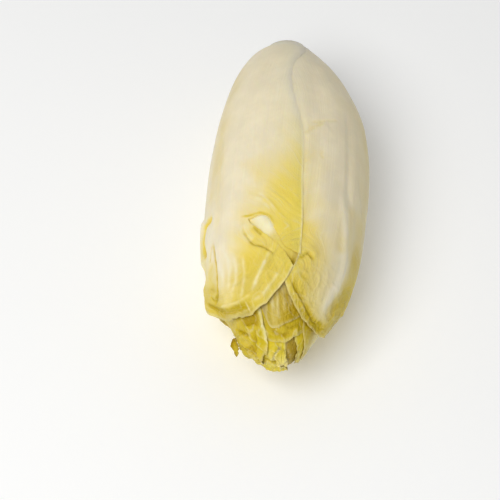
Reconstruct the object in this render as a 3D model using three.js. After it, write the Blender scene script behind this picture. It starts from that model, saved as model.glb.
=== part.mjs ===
// A head of Belgian endive, lying on its side: a solid core, and 22 leaves wrapped round a closed bud.
// Millimetres, +Z up. The head's axis runs along Y, with the cut stem end at +Y and the tip at -Y.
//
// A place on the head is (angle, along). The angle goes round the axis in degrees: 0 is straight up
// and 90 is towards +X. Along is the distance from the cut face. Leaves are listed from the outside
// in, and each one lies under those before it, so the stack never crosses itself.
import * as THREE from 'three';

const HEAD_LENGTH = 156;
const AXIS_HEIGHT = 30.5;
// Leaves lie closer together where they meet at the stem.
const LEAF_GAP = 0.9;
const STEM_GAP = 0.5;
const STEM_LENGTH = 30;
const LEAF_COLUMNS = 10;
const COVERED_COLUMNS = 9;
const LEAF_ROWS = [0, 0.04, 0.09, 0.15, 0.22, 0.31, 0.42, 0.55, 0.67, 0.77, 0.85, 0.91, 0.96, 1];
const TORN_UPPER_ROWS = [0, 0.05, 0.11, 0.18, 0.27, 0.37, 0.49, 0.63, 0.78, 0.9, 1];
const TORN_LOWER_ROWS = [0, 0.25, 0.5, 0.75, 1];
const TORN_COLUMNS = 15;
const TORN_SHARED_COLUMNS = 9;

const BLADE_THICKNESS = 0.85;
const BASE_RAMP = 12;
const MARGIN_HOLD = 6.5;
const MARGIN_RELEASE = 20;

// The inner leaves are shorter than the outer ones and draw in below them towards the tip.
const TIP_STEP = 3;
const TIP_STEP_FROM = 90;
const TIP_STEP_TO = 130;

const CORE_PROFILE = [[6.2, 0], [5.9, 8], [5.2, 20], [3.8, 30], [1.8, 37], [0, 40]];
const CORE_SIDES = 28;
const BUD_PROFILE = [[0, 43], [3.6, 46], [7, 55], [8.6, 70], [8.2, 88], [6, 108], [2.6, 121], [0, 124]];
const BUD_SIDES = 16;
// The bud stands in the middle of the head at this distance along it.
const BUD_MIDDLE = 80;

// Outer envelope, at a few stations along the head: how far it reaches from its axis to the left
// (-X) and to the right (+X).
const REACH = [
  { along: 0, left: 8, right: 8 },
  { along: 5, left: 12, right: 12 },
  { along: 12, left: 18, right: 18 },
  { along: 30, left: 25, right: 28 },
  { along: 50, left: 29, right: 34 },
  { along: 70, left: 31, right: 35 },
  { along: 98, left: 32, right: 33 },
  { along: 130, left: 29, right: 25 },
  { along: 147, left: 19, right: 16 },
  { along: 156, left: 9, right: 8 },
];

const LOOKS = {
  outer: { color: 0xe6dfbf, roughness: 0.45 },
  middle: { color: 0xe4d98a, roughness: 0.42 },
  inner: { color: 0xdccb62, roughness: 0.42 },
  heart: { color: 0xe0cf6a, roughness: 0.45 },
  bud: { color: 0xe0cf6a, roughness: 0.5 },
  core: { color: 0xe9e3cd, roughness: 0.6 },
};

// The torn leaf: a wide tear runs in from its right margin, and the two sides stand apart.
const TEAR = {
  joined: [[-103, 104], [-66, 108], [-28, 109]],
  upper: [[-28, 109], [-13, 109], [-5, 115], [4, 122], [16, 124]],
  lower: [[-28, 109], [-22, 112], [-4, 120], [12, 129]],
};

// Each side and tip is a list of (angle, along) points on the leaf's outline, from base to tip and
// then from left to right. The rib is where the leaf is thickest.
const OUTER_LEAVES = [
  {
    name: 'outer_leaf_under', rib: 180, ribThickness: 3.2, ribSpread: 34,
    left: [[100, 0.6], [112, 14], [122, 40], [127, 80], [130, 124]],
    right: [[260, 0.6], [248, 14], [238, 40], [233, 80], [230, 125]],
    tip: [[130, 124], [150, 133], [180, 137], [208, 134], [230, 125]],
  },
  {
    name: 'outer_leaf_left', rib: -44, ribThickness: 3.6, ribSpread: 30,
    left: [[-125, 2], [-102, 18], [-94, 45], [-94, 80], [-103, 104], [-108, 120], [-106, 131]],
    right: [[40, 2], [18, 18], [3, 29], [0, 45], [8, 68], [11, 95], [16, 124]],
    tip: [[-106, 131], [-65, 141], [-35, 144], [-7, 141]],
    lowerRight: [[12, 129], [6, 135], [-7, 141]],
    tear: TEAR,
  },
  {
    name: 'outer_leaf_right_back', rib: 108, ribThickness: 3.2, ribSpread: 30,
    left: [[50, 4.6], [58, 16], [61, 45], [62, 85], [76, 104], [92, 122]],
    right: [[190, 4.6], [172, 16], [158, 45], [154, 85], [150, 125]],
    tip: [[92, 122], [110, 129], [130, 130], [150, 125]],
  },
  {
    name: 'outer_leaf_right', rib: 40, ribThickness: 3.6, ribSpread: 26,
    left: [[-28, 5], [-18, 20], [2, 100], [18, 122], [12, 129], [6, 134]],
    right: [[120, 5], [112, 20], [106, 60], [110, 100], [116, 126]],
    tip: [[6, 134], [20, 143], [55, 147], [78, 144], [98, 133], [116, 126]],
  },
  {
    name: 'outer_leaf_left_back', rib: -120, ribThickness: 3.2, ribSpread: 28,
    left: [[-190, 7], [-176, 22], [-168, 60], [-165, 128]],
    right: [[-60, 7], [-66, 22], [-72, 60], [-78, 100], [-80, 130]],
    tip: [[-165, 128], [-140, 136], [-124, 139], [-113, 148], [-104, 139], [-90, 135], [-80, 130]],
  },
];

const MIDDLE_LEAVES = [
  {
    name: 'middle_leaf_top', rib: -8, ribThickness: 2.6, ribSpread: 26,
    left: [[-78, 8.4], [-64, 30], [-52, 70], [-40, 112], [-24, 130], [-12, 140]],
    right: [[62, 8.4], [62, 30], [64, 70], [62, 112], [56, 138]],
    tip: [[-12, 140], [0, 147], [34, 142], [56, 138]],
  },
  {
    name: 'middle_leaf_left', rib: -74, ribThickness: 2.6, ribSpread: 26,
    left: [[-150, 10.6], [-142, 32], [-138, 80], [-132, 140]],
    right: [[-8, 10.6], [-14, 32], [-20, 80], [-21, 146]],
    tip: [[-132, 140], [-120, 151], [-104, 152], [-60, 154], [-24, 151], [-21, 146]],
  },
  {
    name: 'middle_leaf_right', rib: 92, ribThickness: 2.6, ribSpread: 26,
    left: [[28, 11], [36, 34], [44, 80], [50, 142]],
    right: [[158, 11], [148, 34], [142, 80], [138, 138]],
    tip: [[50, 142], [66, 148], [92, 150], [118, 146], [138, 138]],
  },
];

// A leaf that the others mostly cover: an even outline round its own middle line.
function coveredLeaf(name, middle, halfWidth, base, tipAlong, ribThickness) {
  const shoulder = tipAlong - 12;
  const side = (reach) => [
    [middle + reach * 1.1, base], [middle + reach, base + 24], [middle + reach, shoulder],
  ];
  return {
    name, rib: middle, ribThickness, ribSpread: halfWidth * 0.45, columns: COVERED_COLUMNS,
    left: side(-halfWidth),
    right: side(halfWidth),
    tip: [
      [middle - halfWidth, shoulder], [middle - halfWidth * 0.55, tipAlong - 2.5], [middle, tipAlong],
      [middle + halfWidth * 0.55, tipAlong - 2.5], [middle + halfWidth, shoulder],
    ],
  };
}

MIDDLE_LEAVES.push(
  coveredLeaf('middle_leaf_under_left', 222, 55, 13, 144, 2.6),
  coveredLeaf('middle_leaf_under_right', 150, 56, 15, 148, 2.6),
);

const INNER_LEAVES = [
  {
    name: 'inner_leaf_top', rib: 28, ribThickness: 2.2, ribSpread: 28,
    left: [[-40, 17], [-30, 44], [-22, 90], [-15, 147]],
    right: [[92, 17], [88, 44], [86, 90], [84, 140]],
    tip: [[-15, 147], [-5, 152], [20, 151], [84, 140]],
  },
  coveredLeaf('inner_leaf_right', 86, 52, 21, 152, 2.2),
  {
    name: 'inner_leaf_left', rib: -36, ribThickness: 2.2, ribSpread: 28,
    left: [[-116, 22], [-108, 50], [-104, 100], [-104, 147]],
    right: [[38, 22], [32, 50], [30, 100], [34, 148]],
    tip: [[-104, 147], [-60, 154], [-8, 156], [24, 154], [34, 148]],
  },
  coveredLeaf('inner_leaf_under_left', 238, 52, 23, 150.5, 2.2),
  coveredLeaf('inner_leaf_under_right', 164, 52, 25, 150, 2.2),
];

const HEART_LEAVES = [
  coveredLeaf('heart_leaf_top', -2, 58, 27, 147, 1.8),
  coveredLeaf('heart_leaf_left', -108, 58, 29, 145, 1.8),
  coveredLeaf('heart_leaf_right', 104, 58, 31, 146, 1.8),
  coveredLeaf('heart_leaf_under', 178, 58, 33, 143, 1.8),
  coveredLeaf('bud_leaf_top', 36, 64, 35, 138, 1.5),
  coveredLeaf('bud_leaf_left', -84, 64, 37, 135, 1.5),
  coveredLeaf('bud_leaf_under', 158, 64, 39, 132, 1.5),
];

// A smooth function through (x, y) pairs that never overshoots them.
function smoothThrough(points) {
  const n = points.length;
  const step = [];
  for (let i = 0; i < n - 1; i += 1) {
    step.push((points[i + 1][1] - points[i][1]) / (points[i + 1][0] - points[i][0]));
  }
  const slope = points.map((_, i) => {
    if (i === 0) return step[0];
    if (i === n - 1) return step[n - 2];
    const product = step[i - 1] * step[i];
    return product <= 0 ? 0 : (2 * product) / (step[i - 1] + step[i]);
  });
  return (x) => {
    const clamped = Math.min(Math.max(x, points[0][0]), points[n - 1][0]);
    let i = 0;
    while (i < n - 2 && clamped > points[i + 1][0]) i += 1;
    const width = points[i + 1][0] - points[i][0];
    const t = (clamped - points[i][0]) / width;
    const rise = points[i + 1][1] - points[i][1];
    const ease = t * t * (3 - 2 * t);
    const lift = width * t * (1 - t) * (slope[i] * (1 - t) - slope[i + 1] * t);
    return points[i][1] + rise * ease + lift;
  };
}

const reachLeft = smoothThrough(REACH.map(({ along, left }) => [along, left]));
const reachRight = smoothThrough(REACH.map(({ along, right }) => [along, right]));

function headRadius(along) {
  return (reachLeft(along) + reachRight(along)) / 2;
}

function axisOffset(along) {
  return (reachRight(along) - reachLeft(along)) / 2;
}

// The envelope is round, except where the head's weight presses its underside flat.
function envelopeRadius(angle, along) {
  const down = -Math.cos(THREE.MathUtils.degToRad(angle));
  const round = headRadius(along);
  return down * round > AXIS_HEIGHT ? AXIS_HEIGHT / down : round;
}

function pointOnHead(angle, along, radius) {
  const turn = THREE.MathUtils.degToRad(angle);
  return new THREE.Vector3(
    axisOffset(along) + radius * Math.sin(turn),
    HEAD_LENGTH / 2 - along,
    AXIS_HEIGHT + radius * Math.cos(turn),
  );
}

function outlineCurve(points) {
  return new THREE.SplineCurve(points.map(([angle, along]) => new THREE.Vector2(angle, along)));
}

// The leaf's outline as a polygon, for telling how far a place is outside it.
function outlinePolygon(leaf) {
  const rightSide = leaf.lowerRight ? [...leaf.right, ...leaf.lowerRight] : leaf.right;
  const sides = [leaf.left, leaf.tip, [...rightSide].reverse()];
  return sides.flatMap((side) => outlineCurve(side).getPoints(4 * side.length));
}

function distanceOutside(leaf, angle, along) {
  const scale = THREE.MathUtils.degToRad(headRadius(along));
  const turned = leaf.rib + THREE.MathUtils.euclideanModulo(angle - leaf.rib + 180, 360) - 180;
  let nearest = Infinity;
  let inside = false;
  const polygon = leaf.polygon;
  for (let i = 0, j = polygon.length - 1; i < polygon.length; j = i, i += 1) {
    const ax = (polygon[j].x - turned) * scale;
    const ay = polygon[j].y - along;
    const bx = (polygon[i].x - turned) * scale;
    const by = polygon[i].y - along;
    const dx = bx - ax;
    const dy = by - ay;
    const lengthSquared = dx * dx + dy * dy;
    const t = lengthSquared > 0 ? THREE.MathUtils.clamp(-(ax * dx + ay * dy) / lengthSquared, 0, 1) : 0;
    nearest = Math.min(nearest, Math.hypot(ax + t * dx, ay + t * dy));
    if (ay > 0 !== by > 0 && ax - (ay * dx) / dy > 0) inside = !inside;
  }
  return inside ? 0 : nearest;
}

function leafThickness(leaf, angle, along) {
  const turned = THREE.MathUtils.euclideanModulo(angle - leaf.rib + 180, 360) - 180;
  const base = leaf.left[0][1];
  const tip = Math.max(...leaf.tip.map((point) => point[1]));
  const across = Math.exp(-((turned / leaf.ribSpread) ** 2));
  const onward = THREE.MathUtils.clamp(1 - (along - base) / (tip - base), 0, 1);
  const grown = THREE.MathUtils.smoothstep(along - base, -BASE_RAMP / 3, BASE_RAMP);
  return BLADE_THICKNESS + leaf.ribThickness * across * onward * grown;
}

function leafGap(along) {
  return THREE.MathUtils.lerp(STEM_GAP, LEAF_GAP, THREE.MathUtils.smoothstep(along, 0, STEM_LENGTH));
}

// Outer surface of leaf number `index`: the envelope, less every leaf that lies over this place.
function outerRadius(leaves, index, angle, along) {
  let radius = envelopeRadius(angle, along);
  if (index >= OUTER_LEAVES.length) {
    radius -= TIP_STEP * THREE.MathUtils.smoothstep(along, TIP_STEP_FROM, TIP_STEP_TO);
  }
  for (const over of leaves.slice(0, index)) {
    const away = distanceOutside(over, angle, along);
    const cover = 1 - THREE.MathUtils.smoothstep(away, MARGIN_HOLD, MARGIN_RELEASE);
    if (cover > 0) radius -= (leafThickness(over, angle, along) + leafGap(along)) * cover;
  }
  return radius;
}

// A patch between four curves, each a function of 0..1 that gives (angle, along).
function coonsPoint(bottom, top, left, right, u, v) {
  const [low, high, near, far] = [bottom(u), top(u), left(v), right(v)];
  const [a, b, c, d] = [bottom(0), bottom(1), top(0), top(1)];
  const blend = (key) => (1 - v) * low[key] + v * high[key] + (1 - u) * near[key] + u * far[key]
    - ((1 - u) * (1 - v) * a[key] + u * (1 - v) * b[key] + (1 - u) * v * c[key] + u * v * d[key]);
  return [blend('x'), blend('y')];
}

function curveThrough(points) {
  const curve = outlineCurve(points);
  return (t) => curve.getPointAt(t);
}

// A sheet is a list of (angle, along) places and the triangles between them.
function gridSheet(columns, rows, place) {
  const places = [];
  const triangles = [];
  rows.forEach((v) => {
    for (let i = 0; i <= columns; i += 1) places.push(place(i / columns, v));
  });
  for (let j = 0; j < rows.length - 1; j += 1) {
    for (let i = 0; i < columns; i += 1) {
      const a = j * (columns + 1) + i;
      const c = a + columns + 1;
      triangles.push([a, c + 1, a + 1], [a, c, c + 1]);
    }
  }
  return { places, triangles };
}

function wholeSheet(leaf) {
  const bottom = curveThrough([leaf.left[0], leaf.right[0]]);
  const [top, left, right] = [leaf.tip, leaf.left, leaf.right].map(curveThrough);
  return gridSheet(leaf.columns ?? LEAF_COLUMNS, LEAF_ROWS,
    (u, v) => coonsPoint(bottom, top, left, right, u, v));
}

// The torn leaf is two sheets that share their columns up to the end of the tear.
function tornSheet(leaf) {
  const { joined, upper, lower } = leaf.tear;
  const shared = TORN_SHARED_COLUMNS / TORN_COLUMNS;
  const seam = (open) => {
    const [closedPart, openPart] = [joined, open].map(curveThrough);
    return (u) => (u <= shared ? closedPart(u / shared) : openPart((u - shared) / (1 - shared)));
  };
  const split = leaf.left.findIndex(([angle, at]) => angle === joined[0][0] && at === joined[0][1]);
  const [leftUp, leftDown] = [leaf.left.slice(0, split + 1), leaf.left.slice(split)].map(curveThrough);
  const [seamUp, seamDown] = [seam(upper), seam(lower)];
  const bottom = curveThrough([leaf.left[0], leaf.right[0]]);
  const [right, lowerRight, top] = [leaf.right, leaf.lowerRight, leaf.tip].map(curveThrough);
  const above = gridSheet(TORN_COLUMNS, TORN_UPPER_ROWS,
    (u, v) => coonsPoint(bottom, seamUp, leftUp, right, u, v));
  const below = gridSheet(TORN_COLUMNS, TORN_LOWER_ROWS,
    (u, v) => coonsPoint(seamDown, top, leftDown, lowerRight, u, v));
  const lastRow = above.places.length - (TORN_COLUMNS + 1);
  const renumber = (k) => (k <= TORN_SHARED_COLUMNS ? lastRow + k : above.places.length + k);
  return {
    places: [...above.places, ...below.places],
    triangles: [...above.triangles, ...below.triangles.map((triangle) => triangle.map(renumber))],
  };
}

// Gives a sheet its thickness: outer face, inner face and a rim along every free edge.
function solidLeaf(leaves, index) {
  const leaf = leaves[index];
  const sheet = leaf.tear ? tornSheet(leaf) : wholeSheet(leaf);
  const positions = [];
  const used = new Map();
  const faces = [];
  const vertexPair = (k) => {
    if (!used.has(k)) {
      const [angle, at] = sheet.places[k];
      const outer = outerRadius(leaves, index, angle, at);
      const inner = outer - leafThickness(leaf, angle, at);
      used.set(k, positions.length / 3);
      positions.push(...pointOnHead(angle, at, outer), ...pointOnHead(angle, at, inner));
    }
    return used.get(k);
  };
  const edges = new Map();
  for (const triangle of sheet.triangles) {
    const [a, b, c] = triangle.map(vertexPair);
    faces.push(a, b, c, a + 1, c + 1, b + 1);
    for (const [from, to] of [[a, b], [b, c], [c, a]]) {
      if (!edges.delete(`${to}_${from}`)) edges.set(`${from}_${to}`, [from, to]);
    }
  }
  for (const [from, to] of edges.values()) {
    faces.push(to, from, from + 1, to, from + 1, to + 1);
  }
  const geometry = new THREE.BufferGeometry();
  geometry.setAttribute('position', new THREE.Float32BufferAttribute(positions, 3));
  geometry.setIndex(faces);
  geometry.computeVertexNormals();
  return geometry;
}

// A round body on the head's axis, from (radius, along) pairs that start and end on the axis.
function turnedBody(profile, sides) {
  const points = profile.map(([radius, at]) => new THREE.Vector2(radius, -at));
  const geometry = new THREE.LatheGeometry(points, sides);
  geometry.translate(0, HEAD_LENGTH / 2, 0);
  return geometry;
}

const allLeaves = [...OUTER_LEAVES, ...MIDDLE_LEAVES, ...INNER_LEAVES, ...HEART_LEAVES];
for (const leaf of allLeaves) leaf.polygon = outlinePolygon(leaf);

const head = new THREE.Group();

function addPiece(name, geometry, look) {
  const mesh = new THREE.Mesh(geometry, new THREE.MeshStandardMaterial({ ...look, metalness: 0 }));
  mesh.name = name;
  head.add(mesh);
  return mesh;
}

function addLayer(leaves, look) {
  for (const leaf of leaves) addPiece(leaf.name, solidLeaf(allLeaves, allLeaves.indexOf(leaf)), look);
}

addLayer(OUTER_LEAVES, LOOKS.outer);
addLayer(MIDDLE_LEAVES, LOOKS.middle);
addLayer(INNER_LEAVES, LOOKS.inner);
addLayer(HEART_LEAVES, LOOKS.heart);

const core = addPiece('core', turnedBody([[0, 0], ...CORE_PROFILE].reverse(), CORE_SIDES), LOOKS.core);
core.position.z = AXIS_HEIGHT;

const bud = addPiece('heart_bud', turnedBody([...BUD_PROFILE].reverse(), BUD_SIDES), LOOKS.bud);
bud.position.set(axisOffset(BUD_MIDDLE), 0, AXIS_HEIGHT);

// The origin is under the middle of the head, on the surface that it lies on.
const box = new THREE.Box3().setFromObject(head);
const middle = box.getCenter(new THREE.Vector3());
head.position.set(-middle.x, -middle.y, -box.min.z);

export default head;
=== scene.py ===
import math
from dataclasses import dataclass, field

import bpy
import numpy as np
from mathutils import Matrix, Vector


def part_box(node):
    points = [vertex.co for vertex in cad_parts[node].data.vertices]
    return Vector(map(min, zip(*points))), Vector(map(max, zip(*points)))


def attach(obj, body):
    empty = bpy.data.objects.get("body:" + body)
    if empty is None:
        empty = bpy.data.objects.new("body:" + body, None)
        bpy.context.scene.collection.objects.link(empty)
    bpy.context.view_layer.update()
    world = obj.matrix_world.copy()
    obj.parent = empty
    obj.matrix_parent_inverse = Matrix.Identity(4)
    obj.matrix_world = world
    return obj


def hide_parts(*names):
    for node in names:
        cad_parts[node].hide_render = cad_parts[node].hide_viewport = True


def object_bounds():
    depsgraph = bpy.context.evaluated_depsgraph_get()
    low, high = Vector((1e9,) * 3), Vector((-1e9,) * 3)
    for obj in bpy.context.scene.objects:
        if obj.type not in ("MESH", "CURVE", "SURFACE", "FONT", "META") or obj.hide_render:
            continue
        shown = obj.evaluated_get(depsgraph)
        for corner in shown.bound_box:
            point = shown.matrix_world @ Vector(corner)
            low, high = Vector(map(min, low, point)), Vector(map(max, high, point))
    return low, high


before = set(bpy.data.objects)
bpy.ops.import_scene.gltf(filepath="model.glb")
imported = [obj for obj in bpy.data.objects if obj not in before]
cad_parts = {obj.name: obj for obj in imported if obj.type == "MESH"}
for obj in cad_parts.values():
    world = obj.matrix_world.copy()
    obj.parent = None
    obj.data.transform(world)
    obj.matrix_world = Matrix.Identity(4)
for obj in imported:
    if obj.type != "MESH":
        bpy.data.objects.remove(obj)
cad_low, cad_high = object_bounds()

MM = 0.001
SEED = 20

# ------------------------------------------------------------------------------- the head

core_low, core_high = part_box("core")
AXIS_X = (core_low.x + core_high.x) / 2 / MM
AXIS_Z = (core_low.z + core_high.z) / 2 / MM
STEM_Y = core_high.y / MM

# How far the head reaches from its axis at a few stations: (along, left (-X), right (+X)).
REACH = [
    (0, 8, 8), (5, 12, 12), (12, 18, 18), (30, 25, 28), (50, 29, 34), (70, 31, 35), (98, 32, 33),
    (130, 29, 25), (147, 19, 16), (156, 9, 8), (160, 5, 4.5), (164, 0.3, 0.3),
]
# How far towards the tip each place along the surface lies, and how much it faces the tip.
TOWARDS_TIP = [(0, 0), (140, 140), (148, 148), (156, 155.2), (160, 157), (164, 157.6)]
FACING_TIP = [(0, 0), (142, 0), (150, 20), (156, 48), (160, 66), (164, 84)]
PATH_LENGTH = 165.0

# How far the inner leaves draw in below the outer ones, all round and at the two sides, from
# (along, step) pairs.
INNER_STEP = [(120, 0), (126, 0.4), (137, 2.4), (144, 1.9), (154, 0.6), (164, 0.4)]
LEFT_STEP = [(125, 0), (137, 2.5), (142, 2.0), (147, 0.9), (152, 0.2), (160, 0)]
RIGHT_STEP = [(125, 0), (137, 2.5), (147, 2.5), (155, 1.2), (161, 0)]
SIDE_FROM, SIDE_FULL = 45.0, 95.0
SMALLEST_RADIUS = 0.15
PROUDEST = 1.5

# Leaves are fused at the stem and part towards the tip.
BLADE_THICKNESS = 0.55
STEM_EDGE, TIP_EDGE = 0.08, 0.24
STEM_GAP, TIP_GAP = 0.02, 0.08
PARTING_FROM, PARTING_TO = 45.0, 120.0
EDGE_TAPER = 5.0
SHARP_ANGLE = math.radians(65)
BASE_RAMP = 12.0
MARGIN_HOLD = 0.3
MARGIN_RELEASE = 9.0
# Leaves beneath take a softer copy of a groove, and come into view this far outside a margin.
GROOVE_SPREAD = 0.8
UNDER_MARGIN = 2.6
# Nothing dips below this height over the floor.
FLOOR_CLEARANCE = 0.02


def smoothstep(value, low, high):
    t = np.clip((value - low) / (high - low), 0, 1)
    return t * t * (3 - 2 * t)


def wrapped(angle):
    return (angle + 180) % 360 - 180


def smooth_through(points):
    """A smooth function through (x, y) pairs that never overshoots them."""
    x, y = np.array(points, float).T
    width = np.diff(x)
    step = np.diff(y) / width
    product = step[:-1] * step[1:]
    total = np.where(product > 0, step[:-1] + step[1:], 1)
    middle = np.where(product > 0, 2 * product / total, 0)
    slope = np.concatenate([step[:1], middle, step[-1:]])

    def value(at):
        at = np.clip(at, x[0], x[-1])
        i = np.clip(np.searchsorted(x, at) - 1, 0, len(x) - 2)
        t = (at - x[i]) / width[i]
        lift = width[i] * t * (1 - t) * (slope[i] * (1 - t) - slope[i + 1] * t)
        return y[i] + (y[i + 1] - y[i]) * t * t * (3 - 2 * t) + lift

    return value


reach_left, reach_right = (smooth_through([(row[0], row[side]) for row in REACH]) for side in (1, 2))
towards_tip = smooth_through(TOWARDS_TIP)
facing_tip = smooth_through(FACING_TIP)


def head_radius(along):
    return (reach_left(along) + reach_right(along)) / 2


def envelope_radius(angle, along):
    """The outside of the head: round, except where its weight presses the underside flat."""
    down = -np.cos(np.radians(angle))
    round_radius = head_radius(along)
    flat_radius = AXIS_Z / np.maximum(down, 0.1)
    return np.where(down * round_radius > AXIS_Z, flat_radius, round_radius)


def points_on_head(angle, along, depth):
    """Places in mm at a depth below the outside of the head."""
    turn, lean = np.radians(angle), np.radians(facing_tip(along))
    radius = np.maximum(envelope_radius(angle, along) - depth * np.cos(lean), SMALLEST_RADIUS)
    x = AXIS_X + (reach_right(along) - reach_left(along)) / 2 + radius * np.sin(turn)
    y = STEM_Y - towards_tip(along) + depth * np.sin(lean)
    return np.stack([x, y, AXIS_Z + radius * np.cos(turn)], -1)


# ----------------------------------------------------------------------------- the leaves

# The torn leaf: a wide tear runs in from its right margin, and the two sides stand apart.
TEAR = {
    "joined": [(-103, 104), (-66, 108), (-26, 109)],
    "upper": [(-26, 109), (-13, 108.5), (-5, 115), (4, 121.5), (16, 124)],
    "lower": [(-26, 109), (-22, 112), (-4, 120), (12, 129)],
}
TEAR_SHARE = 0.6


@dataclass(eq=False)
class Leaf:
    """One leaf. Its sides and tip are (angle, along) points of its outline; cream is the pale zone
    along its rib, as (along, left angle, right angle), and the rest of the blade is yellow."""

    name: str
    rib: float
    rib_thickness: float
    rib_spread: float
    left: list
    right: list
    tip: list
    cream: list
    lower_right: list = field(default_factory=list)
    tear: dict = None
    # The mesh: the size of its quads in mm, and where the fine ones begin.
    step: float = 1.1
    fine_from: float = 0.0
    # How ragged its tip is, how its margin waves, and its crumpling: (from, full at, height, size).
    ragged: float = 0.25
    waves: float = 0.5
    crumple: tuple = (110, 145, 0.3, 7.0)
    # Dark yellow, partly painted shade, and sinking below the other leaves: (from, to, amount) and (amount,
    # from, to).
    deep: tuple = (112, 150, 0.55)
    sink: tuple = (0, 120, 134)

    def __post_init__(self):
        self.base = self.left[0][1]
        self.end = max(along for _, along in self.tip)
        self.cream_left = smooth_through([(along, low) for along, low, _ in self.cream])
        self.cream_right = smooth_through([(along, high) for along, _, high in self.cream])


def cream_zone(rib, *halves):
    """A pale zone that narrows evenly on both sides of the rib: halves are (along, half angle)."""
    return [(along, rib - half, rib + half) for along, half in halves]


OUTER_CREAM = [(0, 80), (60, 52), (88, 34), (112, 21), (128, 9), (140, 1), (150, -4)]
MIDDLE_CREAM = [(0, 70), (90, 30), (108, 14), (120, -4), (132, -24), (150, -40)]
INNER_CREAM = [(0, 60), (100, 16), (120, -6), (132, -30), (156, -50)]
# Dark yellow of the middle leaves' tips, partly painted shade.
MIDDLE_DEEP_AND_SHADE = (108, 136, 0.5)

OUTER_LEAVES = [
    Leaf(
        "outer_leaf_under", 180, 3.2, 34,
        left=[(100, 0.6), (112, 14), (122, 40), (127, 80), (130, 124)],
        right=[(260, 0.6), (248, 14), (238, 40), (233, 80), (230, 125)],
        tip=[(130, 124), (150, 133), (180, 137), (208, 134), (230, 125)],
        cream=cream_zone(180, *OUTER_CREAM),
    ),
    Leaf(
        "outer_leaf_left", -44, 3.6, 30,
        left=[(-125, 2), (-102, 18), (-94, 45), (-94, 80), (-103, 104), (-108, 120), (-106, 131)],
        right=[(40, 2), (18, 18), (3, 29), (0, 45), (8, 68), (11, 95), (16, 124)],
        tip=[(-106, 130), (-93, 133), (-75, 140.5), (-55, 143.5), (-32, 144.5), (-11, 142)],
        lower_right=[(12, 129), (6, 135), (-11, 142)],
        tear=TEAR,
        cream=[
            (0, -140, 60), (52, -120, 4), (78, -108, -11), (100, -97, -25), (125, -66, -38),
            (144, -36, -72),
        ],
        step=0.46, fine_from=92, ragged=0.3,
    ),
    Leaf(
        "outer_leaf_right_back", 118, 3.2, 30,
        left=[(64, 5.4), (84, 16), (98, 45), (103, 85), (104, 104), (108, 122)],
        right=[(190, 4.6), (172, 16), (158, 45), (154, 85), (150, 125)],
        tip=[(108, 122), (118, 129), (134, 130), (150, 125)],
        cream=cream_zone(118, *OUTER_CREAM),
    ),
    Leaf(
        "outer_leaf_right", 40, 3.6, 26,
        left=[(-28, 5), (-18, 20), (2, 100), (9, 117), (14, 123), (12, 129), (6, 134)],
        right=[(130, 5), (126, 20), (124, 60), (124, 100), (118, 126)],
        tip=[
            (6, 134), (13, 140.5), (30, 146), (56, 148), (79, 146.5), (78, 143), (88, 136), (118, 126),
        ],
        cream=[
            (0, -40, 170), (60, 5, 142), (90, 13, 124), (106, 22, 108), (122, 36, 76), (142, 50, 53),
            (147, 72, 32),
        ],
        step=0.52, fine_from=56, ragged=0.16, crumple=(118, 134, 0.5, 5.0),
    ),
    Leaf(
        "outer_leaf_left_back", -120, 3.2, 28,
        left=[(-190, 7), (-176, 22), (-168, 60), (-165, 126)],
        right=[(-60, 7), (-66, 22), (-72, 60), (-74, 100), (-66, 128)],
        tip=[(-165, 126), (-140, 130), (-118, 131), (-100, 130), (-84, 130), (-74, 130), (-66, 128)],
        cream=cream_zone(-120, *OUTER_CREAM), sink=(1.9, 112, 126),
    ),
]


def covered_leaf(name, middle, half, base, end, thick, cream, blunt=0.55, **options):
    """A leaf that the others mostly cover: an even outline round its own middle line. The blunter,
    the wider its tip."""
    shoulder = end - 12
    return Leaf(
        name, middle, thick, half * 0.45,
        left=[(middle - half * 1.1, base), (middle - half, base + 24), (middle - half, shoulder)],
        right=[(middle + half * 1.1, base), (middle + half, base + 24), (middle + half, shoulder)],
        tip=[
            (middle - half, shoulder), (middle - half * blunt, end - 2.5), (middle, end),
            (middle + half * blunt, end - 2.5), (middle + half, shoulder),
        ],
        cream=cream_zone(middle, *cream), **options,
    )


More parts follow.
